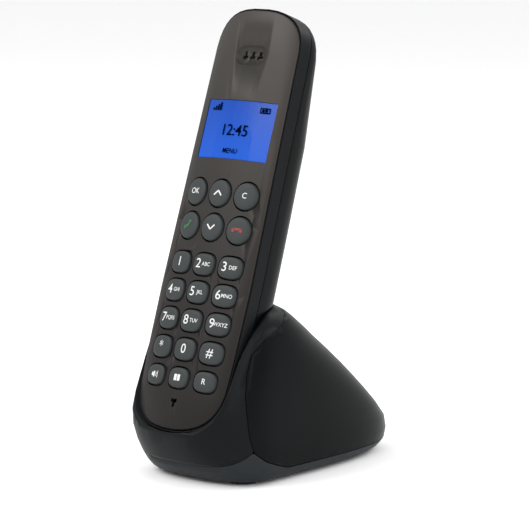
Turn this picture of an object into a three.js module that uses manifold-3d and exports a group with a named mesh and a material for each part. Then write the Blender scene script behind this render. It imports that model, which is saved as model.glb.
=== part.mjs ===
// A cordless telephone: a slim handset that leans back in a charging base.
// Millimetres, +Z up, the keypad side faces -Y. The origin is on the table, under the middle of the object.
import * as THREE from "three";
import { mergeVertices } from "three/addons/utils/BufferGeometryUtils.js";
import Module from "manifold-3d";

const wasm = await Module();
wasm.setup();

// ---- driving dimensions -------------------------------------------------------------------------------------
const LEAN = THREE.MathUtils.degToRad(18.9); // the handset's lean back from upright
const SEAT = new THREE.Vector3(0, -48, 40); // the middle of the last key row, on the face, when docked
const HALF_WIDTH = 22.8; // the handset's widest half width
const TOP = 143.4; // its top and bottom ends, along its length from SEAT
const BOTTOM = -20.2;
const CROWN = 72.7; // radius of the face across its width
const SPLIT = 9.4; // depth of the seam between the two housings
const DEPTH = 23; // thickness from the face's crown to the back
const WALL = 1.8;
const GAP = 0.3; // between pieces that touch
const KEY_PITCH = 12.4;
const KEY_TRAVEL = 0.8;
const DOOR = { half: 17, top: 48, front: 17, wall: 1.6, travel: 5 };
const WINDOW = { half: 17.2, low: 84.5, high: 107.4 };
const EAR = { at: 125, half: 7.6, tall: 4.1, pocket: 1.5 };
const MIC_AT = -9;
const CELL = { radius: 5.2, long: 44.5, x: 5.6, low: 1, depth: 15.8 };
const FOOT = { radius: 5, tall: 1.2 };
const BASE_FLOOR = 1.5;
const SHELL = 2.2; // wall of the base's shells
const LIP = 2.4; // thickness of the cradle's rim
const COPPER = 0xc9a45c;

// ---- materials ----------------------------------------------------------------------------------------------
const plastic = (color, roughness) => new THREE.MeshStandardMaterial({ color, roughness, metalness: 0 });
const metal = (color, roughness) => new THREE.MeshStandardMaterial({ color, roughness, metalness: 1 });
const FINISH = {
  face: new THREE.MeshStandardMaterial({ color: 0x4a4744, roughness: 0.45, metalness: 0.4 }),
  black: plastic(0x16191b, 0.5),
  key: plastic(0x454a4a, 0.6),
  rubber: plastic(0x1d1d1d, 0.9),
  screen: plastic(0x0a5ad6, 0.2),
  board: plastic(0x1f5a36, 0.6),
  mat: plastic(0x3a3a3a, 0.9),
  cell: plastic(0x2e7d4f, 0.4),
  steel: metal(0xb8b8b8, 0.35),
  contact: metal(COPPER, 0.3),
};

// ---- solids -------------------------------------------------------------------------------------------------
function toSolid(geometry) {
  const bare = geometry.clone();
  bare.deleteAttribute("normal");
  bare.deleteAttribute("uv");
  const merged = mergeVertices(bare, 1e-4);
  const mesh = { numProp: 3, vertProperties: merged.attributes.position.array, triVerts: merged.index.array };
  return new wasm.Manifold(new wasm.Mesh({ ...mesh, triVerts: new Uint32Array(mesh.triVerts) }));
}

function toGeometry(solid) {
  const { vertProperties, triVerts } = solid.getMesh();
  const geometry = new THREE.BufferGeometry();
  geometry.setAttribute("position", new THREE.BufferAttribute(new Float32Array(vertProperties), 3));
  geometry.setIndex(new THREE.BufferAttribute(new Uint32Array(triVerts), 1));
  return geometry;
}

// A closed solid through rings of points, all of one length, with a fan to the middle of each end ring.
function loft(rings) {
  const count = rings[0].length;
  const middle = (ring) => ring.reduce((sum, p) => sum.map((v, i) => v + p[i] / count), [0, 0, 0]);
  const points = [...rings.flat(), middle(rings[0]), middle(rings.at(-1))];
  const first = rings.length * count;
  const faces = [];
  for (let j = 0; j < count; j++) {
    const k = (j + 1) % count;
    faces.push(first, k, j, first + 1, first - count + j, first - count + k);
    for (let i = 0; i < rings.length - 1; i++) {
      const a = i * count;
      const b = a + count;
      faces.push(a + j, a + k, b + k, a + j, b + k, b + j);
    }
  }
  const geometry = new THREE.BufferGeometry();
  geometry.setAttribute("position", new THREE.Float32BufferAttribute(points.flat(), 3));
  geometry.setIndex(faces);
  const solid = toSolid(geometry);
  if (solid.volume() > 0) return solid;
  geometry.setIndex(faces.reverse());
  return toSolid(geometry);
}

function block(x0, x1, y0, y1, z0, z1) {
  const box = new THREE.BoxGeometry(x1 - x0, y1 - y0, z1 - z0);
  return toSolid(box.translate((x0 + x1) / 2, (y0 + y1) / 2, (z0 + z1) / 2));
}

// A round bar along one axis, from low to high, with its other two middle coordinates in at.
function bar(axis, radius, low, high, at, sides = 20) {
  const shape = new THREE.CylinderGeometry(radius, radius, high - low, sides);
  if (axis === "z") shape.rotateX(Math.PI / 2);
  const mid = (low + high) / 2;
  return toSolid(axis === "z" ? shape.translate(at[0], at[1], mid) : shape.translate(at[0], mid, at[1]));
}

// A side view outline of [y, z] points, drawn across the whole width.
function sideCut(points) {
  const shape = new THREE.Shape(points.map(([y, z]) => new THREE.Vector2(y, z)));
  const slab = new THREE.ExtrudeGeometry(shape, { depth: 200, bevelEnabled: false });
  slab.translate(0, 0, -100);
  slab.applyMatrix4(new THREE.Matrix4().set(0, 0, 1, 0, 1, 0, 0, 0, 0, 1, 0, 0, 0, 0, 0, 1));
  return toSolid(slab);
}

// ---- the handset's form, in its own frame: x across, y the depth behind the face, z along its length ---------
const sag = (x) => (x * x) / (2 * CROWN);
const backAt = (z) => DEPTH - 5.8 * (Math.max(0, z - 80) / 50) ** 2;
const halfAt = (z) => HALF_WIDTH - (z > 30 ? (z - 30) * 0.0179 : (30 - z) * 0.023);

// The face's outline: nearly straight sides between two arched ends. A rise is how tall an end's arch is.
function outline(inset, rise = { top: 18.4, low: 19.4 }, straightTop = false) {
  const steps = 9;
  const side = [];
  for (let i = 0; i < steps; i++) {
    const turn = ((i + 0.5) / steps) * (Math.PI / 2);
    const x = (halfAt(0) - inset) * Math.sin(turn) ** (2 / 2.4);
    side.push([x, BOTTOM + rise.low - (rise.low - inset) * Math.cos(turn) ** (2 / 2.4)]);
  }
  for (const z of [12, 35, 60, 95]) side.push([halfAt(straightTop ? 35 : z) - inset, z]);
  const high = TOP - rise.top;
  for (let i = 0; i < steps; i++) {
    const turn = ((i + 0.5) / steps) * (Math.PI / 2);
    const x = straightTop ? halfAt(35) - inset : (halfAt(high) - inset) * Math.cos(turn) ** (2 / 2.8);
    side.push([x, high + (straightTop ? i * 7 : (rise.top - inset) * Math.sin(turn) ** (2 / 2.8))]);
  }
  return [...side, ...side.map(([x, z]) => [-x, z]).reverse()];
}

const MIDDLE_Z = 62;
const shrunk = (ring, k) => ring.map(([x, z]) => [x * k, MIDDLE_Z + (z - MIDDLE_Z) * k]);

// A slab that follows the crowned face, between two depths below it.
function crowned(inset, front, back, soft = 0.5) {
  const edge = outline(inset);
  const at = (ring, depth) => ring.map(([x, z]) => [x, sag(x) + depth, z]);
  return loft([
    ...[0.1, 0.45, 0.8].map((k) => at(shrunk(edge, k), front)),
    at(outline(inset + soft), front),
    at(outline(inset + soft * 0.3), front + soft * 0.3),
    at(edge, front + soft),
    at(edge, back),
    ...[0.8, 0.45, 0.1].map((k) => at(shrunk(edge, k), back)),
  ]);
}

// From the crowned face down to a flat depth.
function frontForm(inset, front, flat) {
  const edge = outline(inset);
  const at = (ring, depth) => ring.map(([x, z]) => [x, sag(x) + depth, z]);
  return loft([
    ...[0.1, 0.45, 0.8, 1].map((k) => at(shrunk(edge, k), front)),
    edge.map(([x, z]) => [x, flat, z]),
  ]);
}

// The rounded back, from a flat depth to the back's surface. A straight top runs on past the handset's end.
function backForm(inset, flat, wall, straightTop = false) {
  const deep = (z) => (straightTop ? DEPTH : backAt(z)) - wall;
  const at = (ring, share) => ring.map(([x, z]) => [x, flat + (deep(z) - flat) * share, z]);
  const rings = [0, 0.3, 0.55, 0.75, 0.88, 0.96, 1].map((share) =>
    at(outline(inset + 9 * (1 - (1 - share ** 2.6) ** (1 / 2.6)), undefined, straightTop), share),
  );
  const last = outline(inset + 9, undefined, straightTop);
  return loft([...rings, ...[0.75, 0.4, 0.1].map((k) => at(shrunk(last, k), 1))]);
}

// A rounded key outline: exponent 2 is an ellipse, more is squarer.
function padRing(halfX, halfZ, power, sides, place) {
  const ring = [];
  for (let i = 0; i < sides; i++) {
    const turn = (i / sides) * 2 * Math.PI;
    const [c, s] = [Math.cos(turn), Math.sin(turn)];
    const x = Math.sign(c) * halfX * Math.abs(c) ** (2 / power);
    ring.push(place(x, Math.sign(s) * halfZ * Math.abs(s) ** (2 / power)));
  }
  return ring;
}

const padHole = (key, clear, y0, y1) =>
  loft(
    [y0, y1].map((y) =>
      padRing(key.halfX + clear, key.halfZ + clear, key.power, 20, (x, z) => [key.x + x, y, key.z + z]),
    ),
  );

// Three round lobes about a point, as one hole through the face.
function lobes(x, z, size, y0, y1, upward) {
  let hole = null;
  for (let i = 0; i < 3; i++) {
    const turn = (upward ? Math.PI / 2 : -Math.PI / 2) + (i * 2 * Math.PI) / 3;
    const reach = size * (i === 0 ? 1.25 : 0.75);
    const at = [x + reach * Math.cos(turn), z + reach * Math.sin(turn)];
    const lobe = bar("y", size * 0.62, y0, y1, at, 10).add(
      bar("y", size * 0.6, y0, y1, [(x + at[0]) / 2, (z + at[1]) / 2], 10),
    );
    hole = hole ? hole.add(lobe) : lobe;
  }
  return hole;
}

// ---- keys ---------------------------------------------------------------------------------------------------
const CALL_KEY = { halfX: 5.35, halfZ: 5.35, power: 2 };
const DIGIT_KEY = { halfX: 5.3, halfZ: 4.3, power: 2.8 };
const LAST_KEY = { halfX: 4.9, halfZ: 4.0, power: 2.8 };
const KEY_ROWS = [
  { z: 71.1, form: CALL_KEY, names: ["menu", "up", "clear"] },
  { z: 57.9, form: CALL_KEY, names: ["talk", "down", "end"] },
  { z: 43.6, form: DIGIT_KEY, names: ["1", "2", "3"] },
  { z: 32.8, form: DIGIT_KEY, names: ["4", "5", "6"] },
  { z: 21.9, form: DIGIT_KEY, names: ["7", "8", "9"] },
  { z: 10.9, form: DIGIT_KEY, names: ["star", "0", "hash"] },
  { z: 0, form: LAST_KEY, names: ["speaker", "phonebook", "recall"] },
];
const KEY_GAP = 0.5;
const KEY_FOOT = 5.0;
const KEYS = KEY_ROWS.flatMap(({ z, form, names }) =>
  names.map((name, column) => ({ name: "key_" + name, x: (column - 1) * KEY_PITCH, z, ...form })),
);

// A key stands about 1 mm proud, follows the face's crown, and has a soft edge and a slight dome.
function keySolid(key) {
  const ring = (scale, depth) =>
    padRing(key.halfX * scale, key.halfZ * scale, key.power, 20, (x, z) => {
      const across = key.x + x;
      return [across, depth === null ? KEY_FOOT : sag(across) + depth, key.z + z];
    });
  return loft([ring(0.5, -1.05), ring(0.8, -0.95), ring(0.94, -0.7), ring(1, -0.2), ring(1, null)]);
}

// ---- handset ------------------------------------------------------------------------------------------------
const handset = new THREE.Group();
handset.position.copy(SEAT);
handset.rotation.x = -LEAN;
const base = new THREE.Group();

function put(group, name, solid, material) {
  const mesh = new THREE.Mesh(toGeometry(solid), material);
  mesh.name = name;
  group.add(mesh);
}

const windowHole = (grow, y0, y1) =>
  block(-WINDOW.half - grow, WINDOW.half + grow, y0, y1, WINDOW.low - grow, WINDOW.high + grow);
const EAR_KEY = { x: 0, z: EAR.at, halfX: EAR.half, halfZ: EAR.tall, power: 3 };
const MIC_KEY = { x: 0, z: MIC_AT, halfX: 3, halfZ: 3, power: 2 };

function buildFace() {
  let plate = crowned(0.7, 0, 1.6).add(padHole(EAR_KEY, 1, 0.6, 3));
  plate = plate.subtract(padHole(EAR_KEY, 0, -2, EAR.pocket));
  for (const x of [-3.7, 0, 3.7]) plate = plate.subtract(lobes(x, EAR.at - 0.3, 1.25, -2, 6, true));
  plate = plate.subtract(lobes(0, MIC_AT, 1.2, -2, 6, false)).subtract(windowHole(0, -3, 6));
  let housing = frontForm(0, 0.55, SPLIT);
  housing = housing.subtract(crowned(0.4, -4, 1.9, 0.1)).subtract(frontForm(WALL + 0.4, 3.1, SPLIT + 2));
  housing = housing.subtract(padHole(EAR_KEY, 1.4, -2, 8)).subtract(padHole(MIC_KEY, 0, -2, 8));
  housing = housing.subtract(windowHole(-1.2, -3, 8)).subtract(block(-18.6, 18.6, -3, 8, -5.5, 78.5));
  for (const key of KEYS) {
    plate = plate.subtract(padHole(key, KEY_GAP, -3, 6));
    put(handset, key.name, keySolid(key), FINISH.key);
  }
  put(handset, "face_plate", plate, FINISH.face);
  put(handset, "front_housing", housing, FINISH.black);
  const clear = 0.15;
  const lens = crowned(0.7, 0.25, 1.6).intersect(windowHole(-clear, -3, 6));
  put(handset, "display_lens", lens, FINISH.screen);
}

const CONTACTS = { x: 8, halfX: 2.2, y0: 11.5, y1: 15.5, z0: -18, z1: -13.5 };

function buildBack() {
  const flat = SPLIT + GAP;
  const outer = backForm(0, flat, 0);
  const doorBox = (grow) => {
    const half = DOOR.half + grow;
    return block(-half, half, DOOR.front - grow, DEPTH + 9, BOTTOM - 20, DOOR.top + grow);
  };
  let housing = outer.subtract(backForm(WALL, flat - 3, WALL)).subtract(doorBox(GAP));
  const ringer = { x: 0, z: 100, halfX: 1, halfZ: 4, power: 3 };
  for (const x of [-5, 0, 5]) housing = housing.subtract(padHole({ ...ringer, x }, 0, 15, 30));
  const terminals = [-CONTACTS.x, CONTACTS.x];
  for (const x of terminals) {
    const { halfX, y0, y1, z0, z1 } = CONTACTS;
    housing = housing.subtract(
      block(x - halfX - GAP, x + halfX + GAP, y0 - GAP, y1 + GAP, z0 - 5, z1 + 1),
    );
  }
  put(handset, "rear_housing", housing, FINISH.black);
  const door = outer.intersect(doorBox(0)).subtract(backForm(DOOR.wall, flat - 3, DOOR.wall));
  put(handset, "battery_door", door, FINISH.black);
  terminals.forEach((x, i) => {
    const { halfX, y0, y1, z0, z1 } = CONTACTS;
    const plate = block(x - halfX, x + halfX, y0, y1, z0, z1);
    put(handset, "handset_contact_" + (i ? "right" : "left"), plate, FINISH.contact);
  });
}

function buildInside() {
  put(handset, "lcd_module", block(-16.5, 16.5, 5.4, 7.3, 82, 110), FINISH.screen);
  put(handset, "keypad_mat", block(-18, 18, 6.2, 7.2, -6, 78), FINISH.mat);
  put(handset, "main_board", block(-18, 18, 7.6, 8.6, -7, 116), FINISH.board);
  put(handset, "earpiece_speaker", bar("y", 6, 3.4, 7.2, [0, EAR.at], 28), FINISH.steel);
  put(handset, "microphone", bar("y", 2.6, 4, 7.2, [0, MIC_AT + 0.3], 16), FINISH.steel);
  put(handset, "ringer_speaker", bar("y", 7.5, 12, 16, [0, 100], 28), FINISH.steel);
  [-CELL.x, CELL.x].forEach((x, i) => {
    const body = bar("z", CELL.radius, CELL.low, CELL.low + CELL.long - 1, [x, CELL.depth], 28);
    const nub = bar("z", 1.9, CELL.low + CELL.long - 2, CELL.low + CELL.long, [x, CELL.depth], 16);
    put(handset, "battery_cell_" + (i + 1), body.add(nub), FINISH.cell);
  });
  const low = CELL.low - GAP;
  const high = CELL.low + CELL.long + GAP;
  put(handset, "battery_spring_plate", block(-10.6, 10.6, 12.5, 19.5, low - 0.5, low), FINISH.steel);
  put(handset, "battery_top_plate", block(-10.6, 10.6, 12.5, 19.5, high, high + 0.5), FINISH.steel);
}

// ---- base ---------------------------------------------------------------------------------------------------
// Level slices of the base: height, half width, front end, back end. Each is widest at WIDEST_Y.
const SLICES = [
  [1.5, 26.8, -42.5, 50],
  [2.6, 28, -44.2, 53],
  [5, 29, -46.6, 56],
  [9, 29.8, -49.8, 56.5],
  [14, 30, -53.2, 55],
  [20, 30, -56, 50],
  [26, 30, -56.5, 43.8],
  [32, 29.7, -54.5, 37.3],
  [38, 29.3, -51.5, 30.5],
  [44, 28.8, -48.5, 23.2],
  [50, 28.1, -45.3, 15.5],
  [55, 27.2, -42.5, 8.5],
  [60, 26, -39.5, 1],
  [63, 24.6, -37.8, -4],
  [65.4, 22, -36.5, -9.5],
  [67, 18, -34, -14],
];
const BASE_TOP = 67;
const WIDEST_Y = -24;
const SLICE_SIDES = 60;

function envelope(inset) {
  const rings = SLICES.map(([z, half, front, back]) => {
    const height = Math.min(Math.max(z, BASE_FLOOR + inset * 0.6), BASE_TOP - inset * 1.3);
    const mid = Math.min(WIDEST_Y, (front + back) / 2);
    return Array.from({ length: SLICE_SIDES }, (_, i) => {
      const turn = (i / SLICE_SIDES) * 2 * Math.PI;
      const [c, s] = [Math.cos(turn), Math.sin(turn)];
      const power = s < 0 ? 2.7 : 2.4 + 1.2 * Math.min(1, Math.max(0, (50 - z) / 36));
      const reach = (s < 0 ? mid - front : back - mid) - inset;
      const x = Math.sign(c) * (half - inset) * Math.abs(c) ** (2 / power);
      return [x, mid + Math.sign(s) * reach * Math.abs(s) ** (2 / power), height];
    });
  });
  const kept = rings.filter((ring, i) => i === 0 || ring[0][2] - rings[i - 1][0][2] > 0.05);
  return loft(kept);
}

// Side view seam lines, from the base's front to its back.
const SKIRT_LINE = [[-80, 5.5], [-56, 5.5], [-50, 6.8], [-44, 9.6], [-40, 12.2], [-38.4, 13.5]];
const REAR_SEAM = [[-38, 14.5], [-39.7, 19], [-40.6, 23.6], [-41, 30], [-40.6, 36], [-39, 43], [-36, 50],
  [-30, 55], [-20, 59], [-14, 63], [-14.5, 72]];
const REAR_FLOOR = [[90, 4.8], [-19, 5.2], [-25.8, 7.2], [-31.6, 9.3], [-35.5, 11.9], [-37.4, 13.4]];
const RIM_LINE = [[-80, 21.5], [-54.3, 21.5], [-51.7, 26], [-47.9, 33], [-43.4, 42], [-39.8, 48.5], [-34.5, 56],
  [-29.5, 60.8], [-25.3, 63.8], [-15, 66.4], [-10, 70], [-10, 90], [-80, 90]];
const off = (points, dy, dz) => points.map(([y, z]) => [y + dy, z + dz]);

// The room that the handset slides into: its own section with a little clearance, open upwards.
function pocket(grow) {
  const flat = 6;
  const front = loft(
    [-12, flat + 0.2].map((y) => outline(-0.6 - grow, undefined, true).map(([x, z]) => [x, y, z])),
  );
  const well = block(
    -DOOR.half - 0.7 - grow, DOOR.half + 0.7 + grow, DOOR.front - 1 - grow, DEPTH + 0.5 + grow,
    BOTTOM - DOOR.travel - 1 - grow, 20,
  );
  const shape = front.add(backForm(-0.6 - grow, flat, -0.5 - grow, true)).add(well);
  const place = new THREE.Matrix4().makeRotationX(-LEAN).setPosition(SEAT);
  return shape.transform(place.elements);
}

const SOCKET = { x0: 4, x1: 14, z0: 8.5, z1: 16.5 };
const PLUG_HOLE = { x: -14, z: 12.5, radius: 4.4 };
const PAGE = { x: -3.5, z: 10.5, radius: 3.2 };

function buildBase() {
  const whole = envelope(0);
  const hollow = envelope(SHELL);
  const wall = pocket(2);
  const room = pocket(0);
  const rim = sideCut(RIM_LINE);
  const underRim = sideCut(off(RIM_LINE, LIP, -LIP));
  const gap = GAP / 2;
  const front = sideCut([...off(SKIRT_LINE, 0, gap), ...off(REAR_SEAM, -gap, 0), [-80, 72]]);
  const rear = sideCut([...off(REAR_SEAM, gap, 0), [90, 72], ...off(REAR_FLOOR, gap, gap)]);
  const low = sideCut([
    [-80, 0], ...off(SKIRT_LINE, 0, -gap), ...off(REAR_FLOOR, 0, -gap).reverse(), [90, 0],
  ]);
  const floorTop = block(-60, 60, -80, 80, -5, BASE_FLOOR + 3.2);
  const cup = wall.intersect(whole).subtract(floorTop);
  const skin = whole.intersect(front).subtract(hollow.subtract(underRim));
  const cradle = skin.add(cup).subtract(room).subtract(rim);
  const contactSlots = [-CONTACTS.x, CONTACTS.x].map((x) =>
    tilted(block(x - 1.6, x + 1.6, CONTACTS.y0 + 0.5, CONTACTS.y1 - 0.5, -32, -12)),
  );
  const parts = largest(contactSlots.reduce((solid, slot) => solid.subtract(slot), cradle));
  put(base, "cradle_shell", parts, FINISH.black);

  const clearOfCup = pocket(2 + GAP);
  const { x0, x1, z0, z1 } = SOCKET;
  const back = whole.intersect(rear).subtract(hollow).subtract(clearOfCup).subtract(rim)
    .subtract(block(x0, x1, 30, 80, z0, z1))
    .subtract(bar("y", PLUG_HOLE.radius, 30, 80, [PLUG_HOLE.x, PLUG_HOLE.z], 20))
    .subtract(bar("y", PAGE.radius + 0.4, 30, 80, [PAGE.x, PAGE.z], 20));
  put(base, "rear_shell", largest(back), FINISH.black);

  let plate = whole.intersect(low).subtract(envelope(SHELL).subtract(block(-60, 60, -80, 80, -5, 3.4)));
  plate = plate.subtract(clearOfCup);
  for (const [x, y] of SCREWS) plate = plate.subtract(bar("z", 2.2, -1, 9, [x, y], 16));
  put(base, "base_plate", largest(plate), FINISH.black);
}

const largest = (solid) => solid.decompose().sort((a, b) => b.volume() - a.volume())[0];
const tilted = (solid) => solid.transform(new THREE.Matrix4().makeRotationX(-LEAN).setPosition(SEAT).elements);
const SCREWS = [[-17, -16], [17, -16], [0, 38]];
const FEET = { front_left: [-17, -31], front_right: [17, -31], rear_left: [-13, 30], rear_right: [13, 30] };

function buildBaseInside() {
  for (const [name, [x, y]] of Object.entries(FEET)) {
    put(base, "foot_" + name, bar("z", FOOT.radius, 0, FOOT.tall, [x, y], 28), FINISH.rubber);
  }
  SCREWS.forEach(([x, y], i) => {
    put(base, "base_screw_" + (i + 1), bar("z", 1.9, 1.8, 6.2, [x, y], 14), FINISH.steel);
  });
  put(base, "base_board", block(-17, 17, 6, 32, 9, 10.4), FINISH.board);
  [-CONTACTS.x, CONTACTS.x].forEach((x, i) => {
    const spring = tilted(
      block(x - 1.2, x + 1.2, CONTACTS.y0 + 1, CONTACTS.y1 - 1, -24.5, CONTACTS.z0 - 0.4),
    );
    put(base, "charge_spring_" + (i ? "right" : "left"), spring, FINISH.contact);
  });
  const { x0, x1, z0, z1 } = SOCKET;
  const jack = block(x0 - 1, x1 + 1, 33, 45.5, z0 + 2.2, z1 + 1.2)
    .subtract(block(x0 + 0.5, x1 - 0.5, 35, 60, z0 + 3, z1 - 0.5));
  put(base, "line_socket", jack, FINISH.rubber);
  const inlet = bar("y", PLUG_HOLE.radius - 0.4, 40, 52, [PLUG_HOLE.x, PLUG_HOLE.z], 20)
    .subtract(bar("y", 3.05, 42, 60, [PLUG_HOLE.x, PLUG_HOLE.z], 16));
  put(base, "power_inlet", inlet, FINISH.rubber);
  put(base, "page_button", bar("y", PAGE.radius, 47, 56, [PAGE.x, PAGE.z], 24), FINISH.key);
}

buildFace();
buildBack();
buildInside();
buildBase();
buildBaseInside();

const phone = new THREE.Group();
phone.add(handset, base);
export default phone;
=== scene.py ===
"""A cordless telephone leaning back in its charging base.

The loaded frame gets finished surfaces, printed keys and a lit display, on a stage with soft lights and a
camera.
"""

import math

import bpy
from mathutils import Matrix, Vector


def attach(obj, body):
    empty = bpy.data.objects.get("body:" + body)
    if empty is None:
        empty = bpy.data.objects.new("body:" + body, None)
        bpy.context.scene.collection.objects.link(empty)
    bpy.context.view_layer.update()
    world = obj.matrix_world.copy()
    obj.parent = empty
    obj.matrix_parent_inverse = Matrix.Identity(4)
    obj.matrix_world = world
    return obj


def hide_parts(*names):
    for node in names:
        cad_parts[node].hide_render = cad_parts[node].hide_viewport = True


bl_info = {
    "name": "Cordless phone with base",
    "version": (1, 0, 0),
    "blender": (4, 5, 0),
    "location": "3D View > Sidebar > Phone",
    "description": "Builds the finished look of a cordless phone standing in its charging base",
    "category": "Add Mesh",
}

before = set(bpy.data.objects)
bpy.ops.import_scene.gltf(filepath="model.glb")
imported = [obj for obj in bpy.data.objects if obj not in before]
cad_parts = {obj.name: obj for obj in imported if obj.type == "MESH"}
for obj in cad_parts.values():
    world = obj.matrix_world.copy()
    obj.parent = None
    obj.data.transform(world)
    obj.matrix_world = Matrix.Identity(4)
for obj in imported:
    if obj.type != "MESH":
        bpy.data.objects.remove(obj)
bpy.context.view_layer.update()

MM = 0.001
LEAN = math.radians(18.9)
SEAT = Vector((0, -48, 40)) * MM  # the middle of the lowest row of keys, on the face
HANDSET = Matrix.Translation(SEAT) @ Matrix.Rotation(-LEAN, 4, "X")

# The face and what is printed on it, mm.
CROWN = 72.7  # radius of the face across its width
KEY_PITCH = 12.4
KEY_PROUD = 1.12  # the print's height over the face: just clear of the key's dome
DISPLAY_PROUD = 0.03  # the display's marks stand this far over the face
LETTER_HEIGHT = 1.5
LETTER_SHIFT = 1.9  # a digit and its letters stand this far each side of the key's middle

TEXT_SIZE = 1.4  # a font's size for each unit of letter height
TEXT_STROKE = 0.02  # how much a stroke is thickened
SMALL_MARKS = ("OK", "C", "R")  # printed smaller than the digits
SMALL_SHARE = 0.6

MERGE_DISTANCE = 2e-6  # metres
SMOOTH_ANGLE = math.radians(38)
KEY_SUBDIVISIONS = 2

PLASTIC_IOR = 1.5
CLOUDS_PER_METRE = 60.0  # how close together the patches of a cloudy colour drift are
BUMP_STRENGTH = 0.5
FACE_SHEEN_HEIGHTS = (0.05, 0.17)  # where the face's painted sheen starts and stops lightening its colour, metres
GLOW_HEIGHTS = (0.118, 0.142)  # where the display's glow starts and stops changing, metres
GLOW_STRENGTH = 0.2

# Where the camera stands: its bearing round the phone and its height angle, then how far back, right and up
# it is from the lowest row of keys (mm).
BEARING = math.radians(41.344)
HEIGHT_ANGLE = math.radians(8.473)
CAMERA_BACK, CAMERA_RIGHT, CAMERA_UP = 1007.9, 32.0, 42.3
LENS = 183.7
SENSOR_WIDTH = 36

# Each row of keys: its place along the handset, then each key's name, its large print and its small print.
KEY_ROWS = [
    (71.1, [("menu", "OK", ""), ("up", "^", ""), ("clear", "C", "")]),
    (57.9, [("talk", "call", ""), ("down", "v", ""), ("end", "end", "")]),
    (43.6, [("1", "1", ""), ("2", "2", "ABC"), ("3", "3", "DEF")]),
    (32.8, [("4", "4", "GHI"), ("5", "5", "JKL"), ("6", "6", "MNO")]),
    (21.9, [("7", "7", "PQRS"), ("8", "8", "TUV"), ("9", "9", "WXYZ")]),
    (10.9, [("star", "*", ""), ("0", "0", ""), ("hash", "#", "")]),
    (0.0, [("speaker", "speaker", ""), ("phonebook", "book", ""), ("recall", "R", "")]),
]

# Flat bars that make each symbol: middle x and y, width, height (mm) and turn (degrees).
SYMBOLS = {
    "^": [(-0.9, 0, 2.6, 0.6, 45), (0.9, 0, 2.6, 0.6, -45)],
    "v": [(-0.9, 0, 2.6, 0.6, -45), (0.9, 0, 2.6, 0.6, 45)],
    "call": [(0, 0, 3.2, 0.8, 45), (-1.3, -0.9, 1.3, 1.2, 45), (0.9, 1.3, 1.3, 1.2, 45)],
    "end": [(0, 0.4, 3.6, 0.8, 0), (-1.7, -0.1, 1.2, 1.3, 0), (1.7, -0.1, 1.2, 1.3, 0)],
    "speaker": [
        (-1.2, 0, 0.9, 1.3, 0),
        (-0.3, 0, 0.8, 2.2, 0),
        (0.8, 0, 0.35, 1.6, 0),
        (1.6, 0, 0.35, 2.6, 0),
    ],
    "book": [(-0.8, 0, 1.3, 2.4, 0), (0.8, 0, 1.3, 2.4, 0)],
    "signal": [(-13.5 + i * 1.3, 0.35 * i, 0.8, 1.0 + i * 0.7, 0) for i in range(4)],
    "battery": [
        (12.4, 0.9, 4.2, 0.4, 0),
        (12.4, -0.9, 4.2, 0.4, 0),
        (14.4, 0, 0.4, 2.2, 0),
        (10.4, 0, 0.4, 2.2, 0),
        (11.6, 0, 0.9, 1.2, 0),
        (13.0, 0, 0.9, 1.2, 0),
    ],
}

# Which finish each node inside and underneath takes.
INSIDE = {
    "nitrile rubber": [
        "keypad_mat",
        "foot_front_left",
        "foot_front_right",
        "foot_rear_left",
        "foot_rear_right",
    ],
    "nickel-plated steel": [
        "earpiece_speaker",
        "microphone",
        "ringer_speaker",
        "battery_spring_plate",
        "battery_top_plate",
        "base_screw_1",
        "base_screw_2",
        "base_screw_3",
    ],
    "gold-plated brass": [
        "handset_contact_left",
        "handset_contact_right",
        "charge_spring_left",
        "charge_spring_right",
    ],
    "solder mask on fibreglass": ["main_board", "base_board"],
    "battery sleeve, PVC": ["battery_cell_1", "battery_cell_2"],
    "matte ABS": ["line_socket", "power_inlet", "lcd_module"],
    "soft-touch polycarbonate": ["page_button"],
}

# Each light: its name, place and size (metres) and power (watts).
LIGHTS = (
    ("key light", (-0.5, -0.9, 1.1), 0.9, 14),
    ("fill light", (1.2, -0.5, 0.7), 0.8, 6),
    ("back light", (0.3, 1.0, 0.9), 0.7, 6),
)
LIT_SPOT = Vector((0, 0, 0.08))  # where the lights face, metres
FLOOR_SIZE = 8  # metres


def linear(hex_colour):
    """Turn an sRGB hex colour into the linear RGBA that shaders take."""
    parts = [int(hex_colour[i : i + 2], 16) / 255 for i in (1, 3, 5)]
    return [c / 12.92 if c <= 0.04045 else ((c + 0.055) / 1.055) ** 2.4 for c in parts] + [1.0]


def add_node(tree, kind, settings=None, links=None):
    """Add a node, set its sockets and link its inputs."""
    node = tree.nodes.new(kind)
    for socket, value in (settings or {}).items():
        node.inputs[socket].default_value = value
    for socket, source in (links or {}).items():
        tree.links.new(source, node.inputs[socket])
    return node


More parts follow.
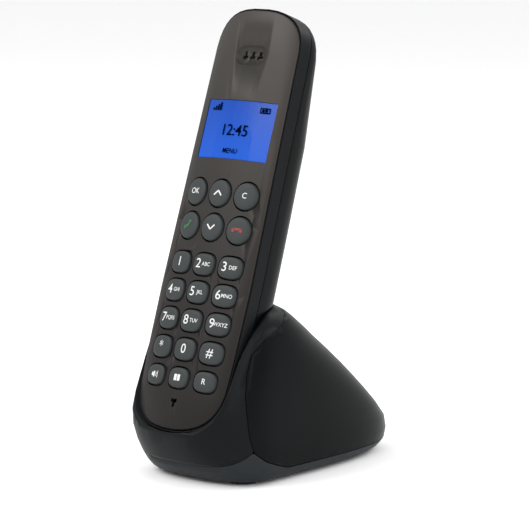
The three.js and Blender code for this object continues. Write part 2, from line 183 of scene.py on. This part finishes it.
def surface(name, low, high, grain_mm, depth_mm, span=None, **shader):
    """A moulded or coated surface: a colour drift between two shades, and a fine bump of a real grain size.

    span is the height range in metres over which the colour goes from low to high.
    Without it the drift is cloudy.
    """
    made = bpy.data.materials.new(name)
    made.use_nodes = True
    tree = made.node_tree
    body = tree.nodes["Principled BSDF"]
    for socket, value in shader.items():
        body.inputs[socket.replace("_", " ")].default_value = value
    place = add_node(tree, "ShaderNodeTexCoord").outputs["Object"]
    if span:
        apart = add_node(tree, "ShaderNodeSeparateXYZ", links={"Vector": place})
        drift = add_node(
            tree,
            "ShaderNodeMapRange",
            {"From Min": span[0], "From Max": span[1]},
            {"Value": apart.outputs["Z"]},
        ).outputs["Result"]
    else:
        clouds = {"Scale": CLOUDS_PER_METRE, "Detail": 3.0}
        drift = add_node(tree, "ShaderNodeTexNoise", clouds, {"Vector": place}).outputs["Fac"]
    ramp = add_node(tree, "ShaderNodeValToRGB", links={"Fac": drift})
    ramp.color_ramp.elements[0].color = linear(low)
    ramp.color_ramp.elements[1].color = linear(high)
    tree.links.new(ramp.outputs["Color"], body.inputs["Base Color"])
    grain = add_node(
        tree, "ShaderNodeTexNoise", {"Scale": 1 / (grain_mm * MM), "Detail": 2.0}, {"Vector": place}
    )
    bump = add_node(
        tree,
        "ShaderNodeBump",
        {"Strength": BUMP_STRENGTH, "Distance": depth_mm * MM},
        {"Height": grain.outputs["Fac"]},
    )
    tree.links.new(bump.outputs["Normal"], body.inputs["Normal"])
    return made


def dress(piece, finish):
    """Give a piece one material all over."""
    piece.data.materials.clear()
    piece.data.materials.append(finish)


def dress_node(node, finish):
    """Give a loaded node a finished material without touching its mesh."""
    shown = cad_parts[node]
    if not shown.material_slots:
        shown.data.materials.append(finish)
    for slot in shown.material_slots:
        slot.link = "OBJECT"
        slot.material = finish


def pick(piece):
    """Select one object only and make it active."""
    bpy.ops.object.select_all(action="DESELECT")
    piece.select_set(True)
    bpy.context.view_layer.objects.active = piece


def smooth_copy(node, body, finish, rounded=False):
    """Stand a merged, smoothly shaded copy in for a node. A rounded one is subdivided too."""
    piece = bpy.data.objects.new(node + "_finished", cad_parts[node].data.copy())
    bpy.context.collection.objects.link(piece)
    pick(piece)
    bpy.ops.object.mode_set(mode="EDIT")
    bpy.ops.mesh.select_all(action="SELECT")
    bpy.ops.mesh.remove_doubles(threshold=MERGE_DISTANCE)
    if rounded:
        bpy.ops.mesh.tris_convert_to_quads()
    bpy.ops.object.mode_set(mode="OBJECT")
    if rounded:
        soften = piece.modifiers.new("soft edge", "SUBSURF")
        soften.levels = soften.render_levels = KEY_SUBDIVISIONS
        bpy.ops.object.modifier_apply(modifier=soften.name)
        bpy.ops.object.shade_smooth()
    else:
        bpy.ops.object.shade_smooth_by_angle(angle=SMOOTH_ANGLE)
    dress(piece, finish)
    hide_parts(node)
    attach(piece, body)


def on_face(x, along, proud=0.0):
    """Where a flat shape goes to lie on the crowned face: x across, along the handset, proud of it (mm)."""
    tilt = Matrix.Rotation(x / CROWN, 4, "Z")
    spot = Matrix.Translation(Vector((x, x * x / (2 * CROWN) - proud, along)) * MM)
    return HANDSET @ spot @ tilt @ Matrix.Rotation(math.pi / 2, 4, "X") @ Matrix.Scale(MM, 4)


def settle(piece, name, place, finish, body):
    """Give a flat mark its place in its mesh, and its finish and body."""
    piece.name = name
    piece.data.transform(place)
    dress(piece, finish)
    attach(piece, body)


def text_mark(words, tall):
    """Letters as a mesh, with their middle at the origin; tall is the letter height in mm."""
    bpy.ops.object.select_all(action="DESELECT")
    bpy.ops.object.text_add(location=(0, 0, 0))
    mark = bpy.context.object
    mark.data.body = words
    mark.data.size = tall * TEXT_SIZE
    mark.data.align_x = "CENTER"
    mark.data.align_y = "CENTER"
    mark.data.offset = TEXT_STROKE
    bpy.ops.object.convert(target="MESH")
    return bpy.context.object


def bar_mark(bars):
    """A symbol of flat bars joined in one mesh."""
    made = []
    for x, y, wide, tall, turn in bars:
        bpy.ops.object.select_all(action="DESELECT")
        bpy.ops.mesh.primitive_plane_add(size=1, location=(x, y, 0), rotation=(0, 0, math.radians(turn)))
        bar = bpy.context.object
        bar.scale = (wide, tall, 1)
        bpy.ops.object.transform_apply(location=True, rotation=True, scale=True)
        made.append(bar)
    for bar in made:
        bar.select_set(True)
    bpy.context.view_layer.objects.active = made[0]
    if len(made) > 1:
        bpy.ops.object.join()
    return bpy.context.object


def curve_to_face(mark):
    """Bend a flat mark round the crowned face, so that it stays just in front of it."""
    back = HANDSET.inverted()
    for vertex in mark.data.vertices:
        spot = back @ vertex.co
        across = spot.x / MM
        spot.y = (across * across / (2 * CROWN) - DISPLAY_PROUD) * MM
        vertex.co = HANDSET @ spot


class PhoneSettings(bpy.types.PropertyGroup):
    """Sizes and colours that a user would change."""

    plastic: bpy.props.StringProperty(
        name="Housing", description="Moulded housings, sRGB hex", default="#090B0C"
    )
    rear_plastic: bpy.props.StringProperty(
        name="Rear shell", description="The base's rear shell, sRGB hex", default="#040506"
    )
    # The base plate's lighter colour is a painted reflection of the white floor.
    skirt: bpy.props.StringProperty(
        name="Base plate", description="The base's skirt, sRGB hex", default="#15191C"
    )
    face_low: bpy.props.StringProperty(
        name="Face, low", description="Face by the keys, sRGB hex", default="#1E1B1A"
    )
    # The face's top colour is a painted sheen: the face is painted lighter towards the top.
    face_painted_sheen: bpy.props.StringProperty(
        name="Face, high", description="Face at the top, sRGB hex", default="#363330"
    )
    key: bpy.props.StringProperty(
        name="Keys", description="Key caps, sRGB hex", default="#272A2A"
    )
    glow_low: bpy.props.StringProperty(
        name="Display, low", description="Backlight, sRGB hex", default="#0A45A4"
    )
    glow_high: bpy.props.StringProperty(
        name="Display, high", description="Backlight, sRGB hex", default="#08378A"
    )
    print_height: bpy.props.FloatProperty(
        name="Print height", description="Height of the large digits, mm", default=3.6, min=2, max=5
    )


def settings():
    """The scene's phone settings."""
    return bpy.context.scene.cordless_phone


class PHONE_OT_finishes(bpy.types.Operator):
    """Make the materials"""

    bl_idname = "phone.finishes"
    bl_label = "Finishes"

    def execute(self, context):
        look = settings()
        # Matte ABS from a spark-eroded mould: a faint grain and a soft wide sheen.
        surface(
            "matte ABS", look.plastic, "#121416", 0.35, 0.012,
            Roughness=0.42, IOR=PLASTIC_IOR, Specular_IOR_Level=0.08,
        )
        # The same ABS from a smoother mould: nearly black, with tighter highlights on the curves.
        surface(
            "satin ABS, near black", look.rear_plastic, "#0A0C0D", 0.35, 0.006,
            Roughness=0.33, IOR=PLASTIC_IOR, Specular_IOR_Level=0.06,
        )
        # The base plate's ABS is coarser, and it is painted a little lighter as a painted reflection of the
        # white floor, so it reads as its own piece.
        surface(
            "matte ABS, base plate, painted floor reflection", look.skirt, "#1A1F22", 0.35, 0.014,
            Roughness=0.5, IOR=PLASTIC_IOR, Specular_IOR_Level=0.2,
        )
        # Metallic lacquer on a moulded plate: gunmetal with a fine grain, and a painted sheen that lightens
        # it towards the top.
        surface(
            "metallic lacquer, painted sheen", look.face_low, look.face_painted_sheen, 0.25, 0.006, FACE_SHEEN_HEIGHTS,
            Roughness=0.42, Metallic=0.3, Specular_IOR_Level=0.2,
        )
        # Polycarbonate caps with a soft-touch coat: no sharp highlights.
        surface(
            "soft-touch polycarbonate", look.key, "#2D3131", 0.3, 0.008,
            Roughness=0.55, IOR=PLASTIC_IOR, Specular_IOR_Level=0.25,
        )
        # Pad-printed ink: flat and dry beside the caps.
        surface("screen print, white", "#BFC1BF", "#CACCCA", 0.2, 0.002, Roughness=0.6)
        surface("screen print, green", "#1F5A2A", "#276632", 0.2, 0.002, Roughness=0.6)
        surface("screen print, red", "#7A1E1A", "#862622", 0.2, 0.002, Roughness=0.6)
        # Liquid crystal that blocks the backlight: dark with no gloss of its own.
        surface(
            "liquid crystal, dark", "#010310", "#020516", 0.2, 0.001,
            Roughness=0.3, Specular_IOR_Level=0.0,
        )
        # Acrylic window over a backlit panel: a blue glow, slightly brighter near the bottom.
        window = surface(
            "backlit acrylic", look.glow_low, look.glow_high, 0.5, 0.001, GLOW_HEIGHTS,
            Roughness=0.15, IOR=1.49, Specular_IOR_Level=0.2,
        ).node_tree
        shade = window.nodes["Principled BSDF"]
        window.links.new(window.nodes["Color Ramp"].outputs["Color"], shade.inputs["Emission Color"])
        shade.inputs["Emission Strength"].default_value = GLOW_STRENGTH
        # Rubber is dull and slightly pitted.
        surface("nitrile rubber", "#141414", "#1C1C1C", 0.4, 0.02, Roughness=0.85)
        # Plated metals: bright, with a fine plating texture.
        surface("nickel-plated steel", "#A9A9A7", "#BDBDBB", 0.15, 0.004, Roughness=0.32, Metallic=1.0)
        surface("gold-plated brass", "#B58F45", "#CFA95A", 0.15, 0.003, Roughness=0.28, Metallic=1.0)
        # Green lacquer over a woven board, and a shrunk plastic sleeve.
        surface("solder mask on fibreglass", "#1B4D2E", "#22603A", 0.4, 0.01, Roughness=0.45)
        surface("battery sleeve, PVC", "#2B7549", "#338553", 0.5, 0.003, Roughness=0.3)
        return {"FINISHED"}


class PHONE_OT_housings(bpy.types.Operator):
    """Finish the handset's face, housings and battery door"""

    bl_idname = "phone.housings"
    bl_label = "Handset housings"

    def execute(self, context):
        found = bpy.data.materials
        smooth_copy("face_plate", "handset", found["metallic lacquer, painted sheen"])
        smooth_copy("front_housing", "handset", found["matte ABS"])
        smooth_copy("rear_housing", "handset", found["satin ABS, near black"])
        smooth_copy("battery_door", "battery_door", found["satin ABS, near black"])
        return {"FINISHED"}


class PHONE_OT_base(bpy.types.Operator):
    """Finish the base's shells and plate"""

    bl_idname = "phone.base"
    bl_label = "Charging base"

    def execute(self, context):
        found = bpy.data.materials
        smooth_copy("cradle_shell", "base", found["matte ABS"])
        smooth_copy("rear_shell", "base", found["satin ABS, near black"])
        smooth_copy("base_plate", "base", found["matte ABS, base plate, painted floor reflection"])
        return {"FINISHED"}


class PHONE_OT_keys(bpy.types.Operator):
    """Round the key caps and print their digits, letters and symbols"""

    bl_idname = "phone.keys"
    bl_label = "Keys and print"

    def execute(self, context):
        found = bpy.data.materials
        inks = {"call": found["screen print, green"], "end": found["screen print, red"]}
        for along, row in KEY_ROWS:
            for column, (name, large, small) in enumerate(row):
                body = "key_" + name
                smooth_copy(body, body, found["soft-touch polycarbonate"], rounded=True)
                x = (column - 1) * KEY_PITCH
                ink = inks.get(large, found["screen print, white"])
                if large in SYMBOLS:
                    mark, shift = bar_mark(SYMBOLS[large]), 0
                else:
                    tall = settings().print_height * (SMALL_SHARE if large in SMALL_MARKS else 1)
                    mark, shift = text_mark(large, tall), (-LETTER_SHIFT if small else 0)
                place = on_face(x, along, KEY_PROUD) @ Matrix.Translation((shift, 0, 0))
                settle(mark, body + "_print", place, ink, body)
                if small:
                    mark = text_mark(small, LETTER_HEIGHT)
                    place = on_face(x, along, KEY_PROUD) @ Matrix.Translation((LETTER_SHIFT, 0, 0))
                    settle(mark, body + "_letters", place, ink, body)
        return {"FINISHED"}


class PHONE_OT_display(bpy.types.Operator):
    """Light the display and set its clock, signal bars and battery symbol"""

    bl_idname = "phone.display"
    bl_label = "Display"

    def execute(self, context):
        found = bpy.data.materials
        dress_node("display_lens", found["backlit acrylic"])
        dark = found["liquid crystal, dark"]
        # Each mark's name, its mesh and its place along the handset (mm).
        for name, mark, along in (
            ("signal_symbol", bar_mark(SYMBOLS["signal"]), 103.6),
            ("battery_symbol", bar_mark(SYMBOLS["battery"]), 104.2),
            ("clock_digits", text_mark("12:45", 4.4), 95.5),
            ("menu_word", text_mark("MENU", 1.9), 87.6),
        ):
            settle(mark, name, on_face(0, along), dark, "handset")
            curve_to_face(mark)
        return {"FINISHED"}


class PHONE_OT_inside(bpy.types.Operator):
    """Give the parts inside and underneath their finishes"""

    bl_idname = "phone.inside"
    bl_label = "Inside and feet"

    def execute(self, context):
        found = bpy.data.materials
        for finish, nodes in INSIDE.items():
            for node in nodes:
                dress_node(node, found[finish])
        return {"FINISHED"}


class PHONE_OT_stage(bpy.types.Operator):
    """Set the floor, the soft lights and the camera"""

    bl_idname = "phone.stage"
    bl_label = "Stage"

    def execute(self, context):
        bpy.ops.object.select_all(action="DESELECT")
        bpy.ops.mesh.primitive_plane_add(size=FLOOR_SIZE, location=(0, 0, 0))
        floor = context.object
        floor.name = "floor"
        dress(floor, surface("painted board", "#F4F4F4", "#F8F8F8", 2.0, 0.001, Roughness=0.8))
        world = bpy.data.worlds.new("soft room")
        world.use_nodes = True
        world.node_tree.nodes["Background"].inputs["Color"].default_value = (1, 1, 1, 1)
        world.node_tree.nodes["Background"].inputs["Strength"].default_value = 1.0
        context.scene.world = world
        context.scene.view_settings.view_transform = "Standard"
        for name, spot, size, power in LIGHTS:
            bpy.ops.object.light_add(type="AREA", location=spot)
            light = context.object
            light.name = name
            light.data.size = size
            light.data.energy = power
            light.rotation_euler = (LIT_SPOT - Vector(spot)).to_track_quat("-Z", "Y").to_euler()
        level = math.cos(HEIGHT_ANGLE)
        back = Vector((math.sin(BEARING) * level, -math.cos(BEARING) * level, math.sin(HEIGHT_ANGLE)))
        right = Vector((math.cos(BEARING), math.sin(BEARING), 0))
        up = back.cross(right)
        shift = back * CAMERA_BACK + right * CAMERA_RIGHT + up * CAMERA_UP
        bpy.ops.object.camera_add(location=SEAT + shift * MM)
        camera = context.object
        camera.rotation_euler = Matrix((right, up, back)).transposed().to_euler()
        camera.data.sensor_width = SENSOR_WIDTH
        camera.data.lens = LENS
        context.scene.camera = camera
        return {"FINISHED"}


STEPS = ("finishes", "housings", "base", "keys", "display", "inside", "stage")


class PHONE_PT_panel(bpy.types.Panel):
    """Lists the steps"""

    bl_label = "Cordless phone"
    bl_idname = "PHONE_PT_panel"
    bl_space_type = "VIEW_3D"
    bl_region_type = "UI"
    bl_category = "Phone"

    def draw(self, context):
        for step in STEPS:
            self.layout.operator("phone." + step)
        for prop in PhoneSettings.__annotations__:
            self.layout.prop(context.scene.cordless_phone, prop)


CLASSES = (
    PhoneSettings,
    PHONE_OT_finishes,
    PHONE_OT_housings,
    PHONE_OT_base,
    PHONE_OT_keys,
    PHONE_OT_display,
    PHONE_OT_inside,
    PHONE_OT_stage,
    PHONE_PT_panel,
)


def register():
    for each in CLASSES:
        bpy.utils.register_class(each)
    bpy.types.Scene.cordless_phone = bpy.props.PointerProperty(type=PhoneSettings)


def unregister():
    del bpy.types.Scene.cordless_phone
    for each in reversed(CLASSES):
        bpy.utils.unregister_class(each)


def main():
    register()
    for step in STEPS:
        getattr(bpy.ops.phone, step)()


if __name__ == "__main__":
    main()
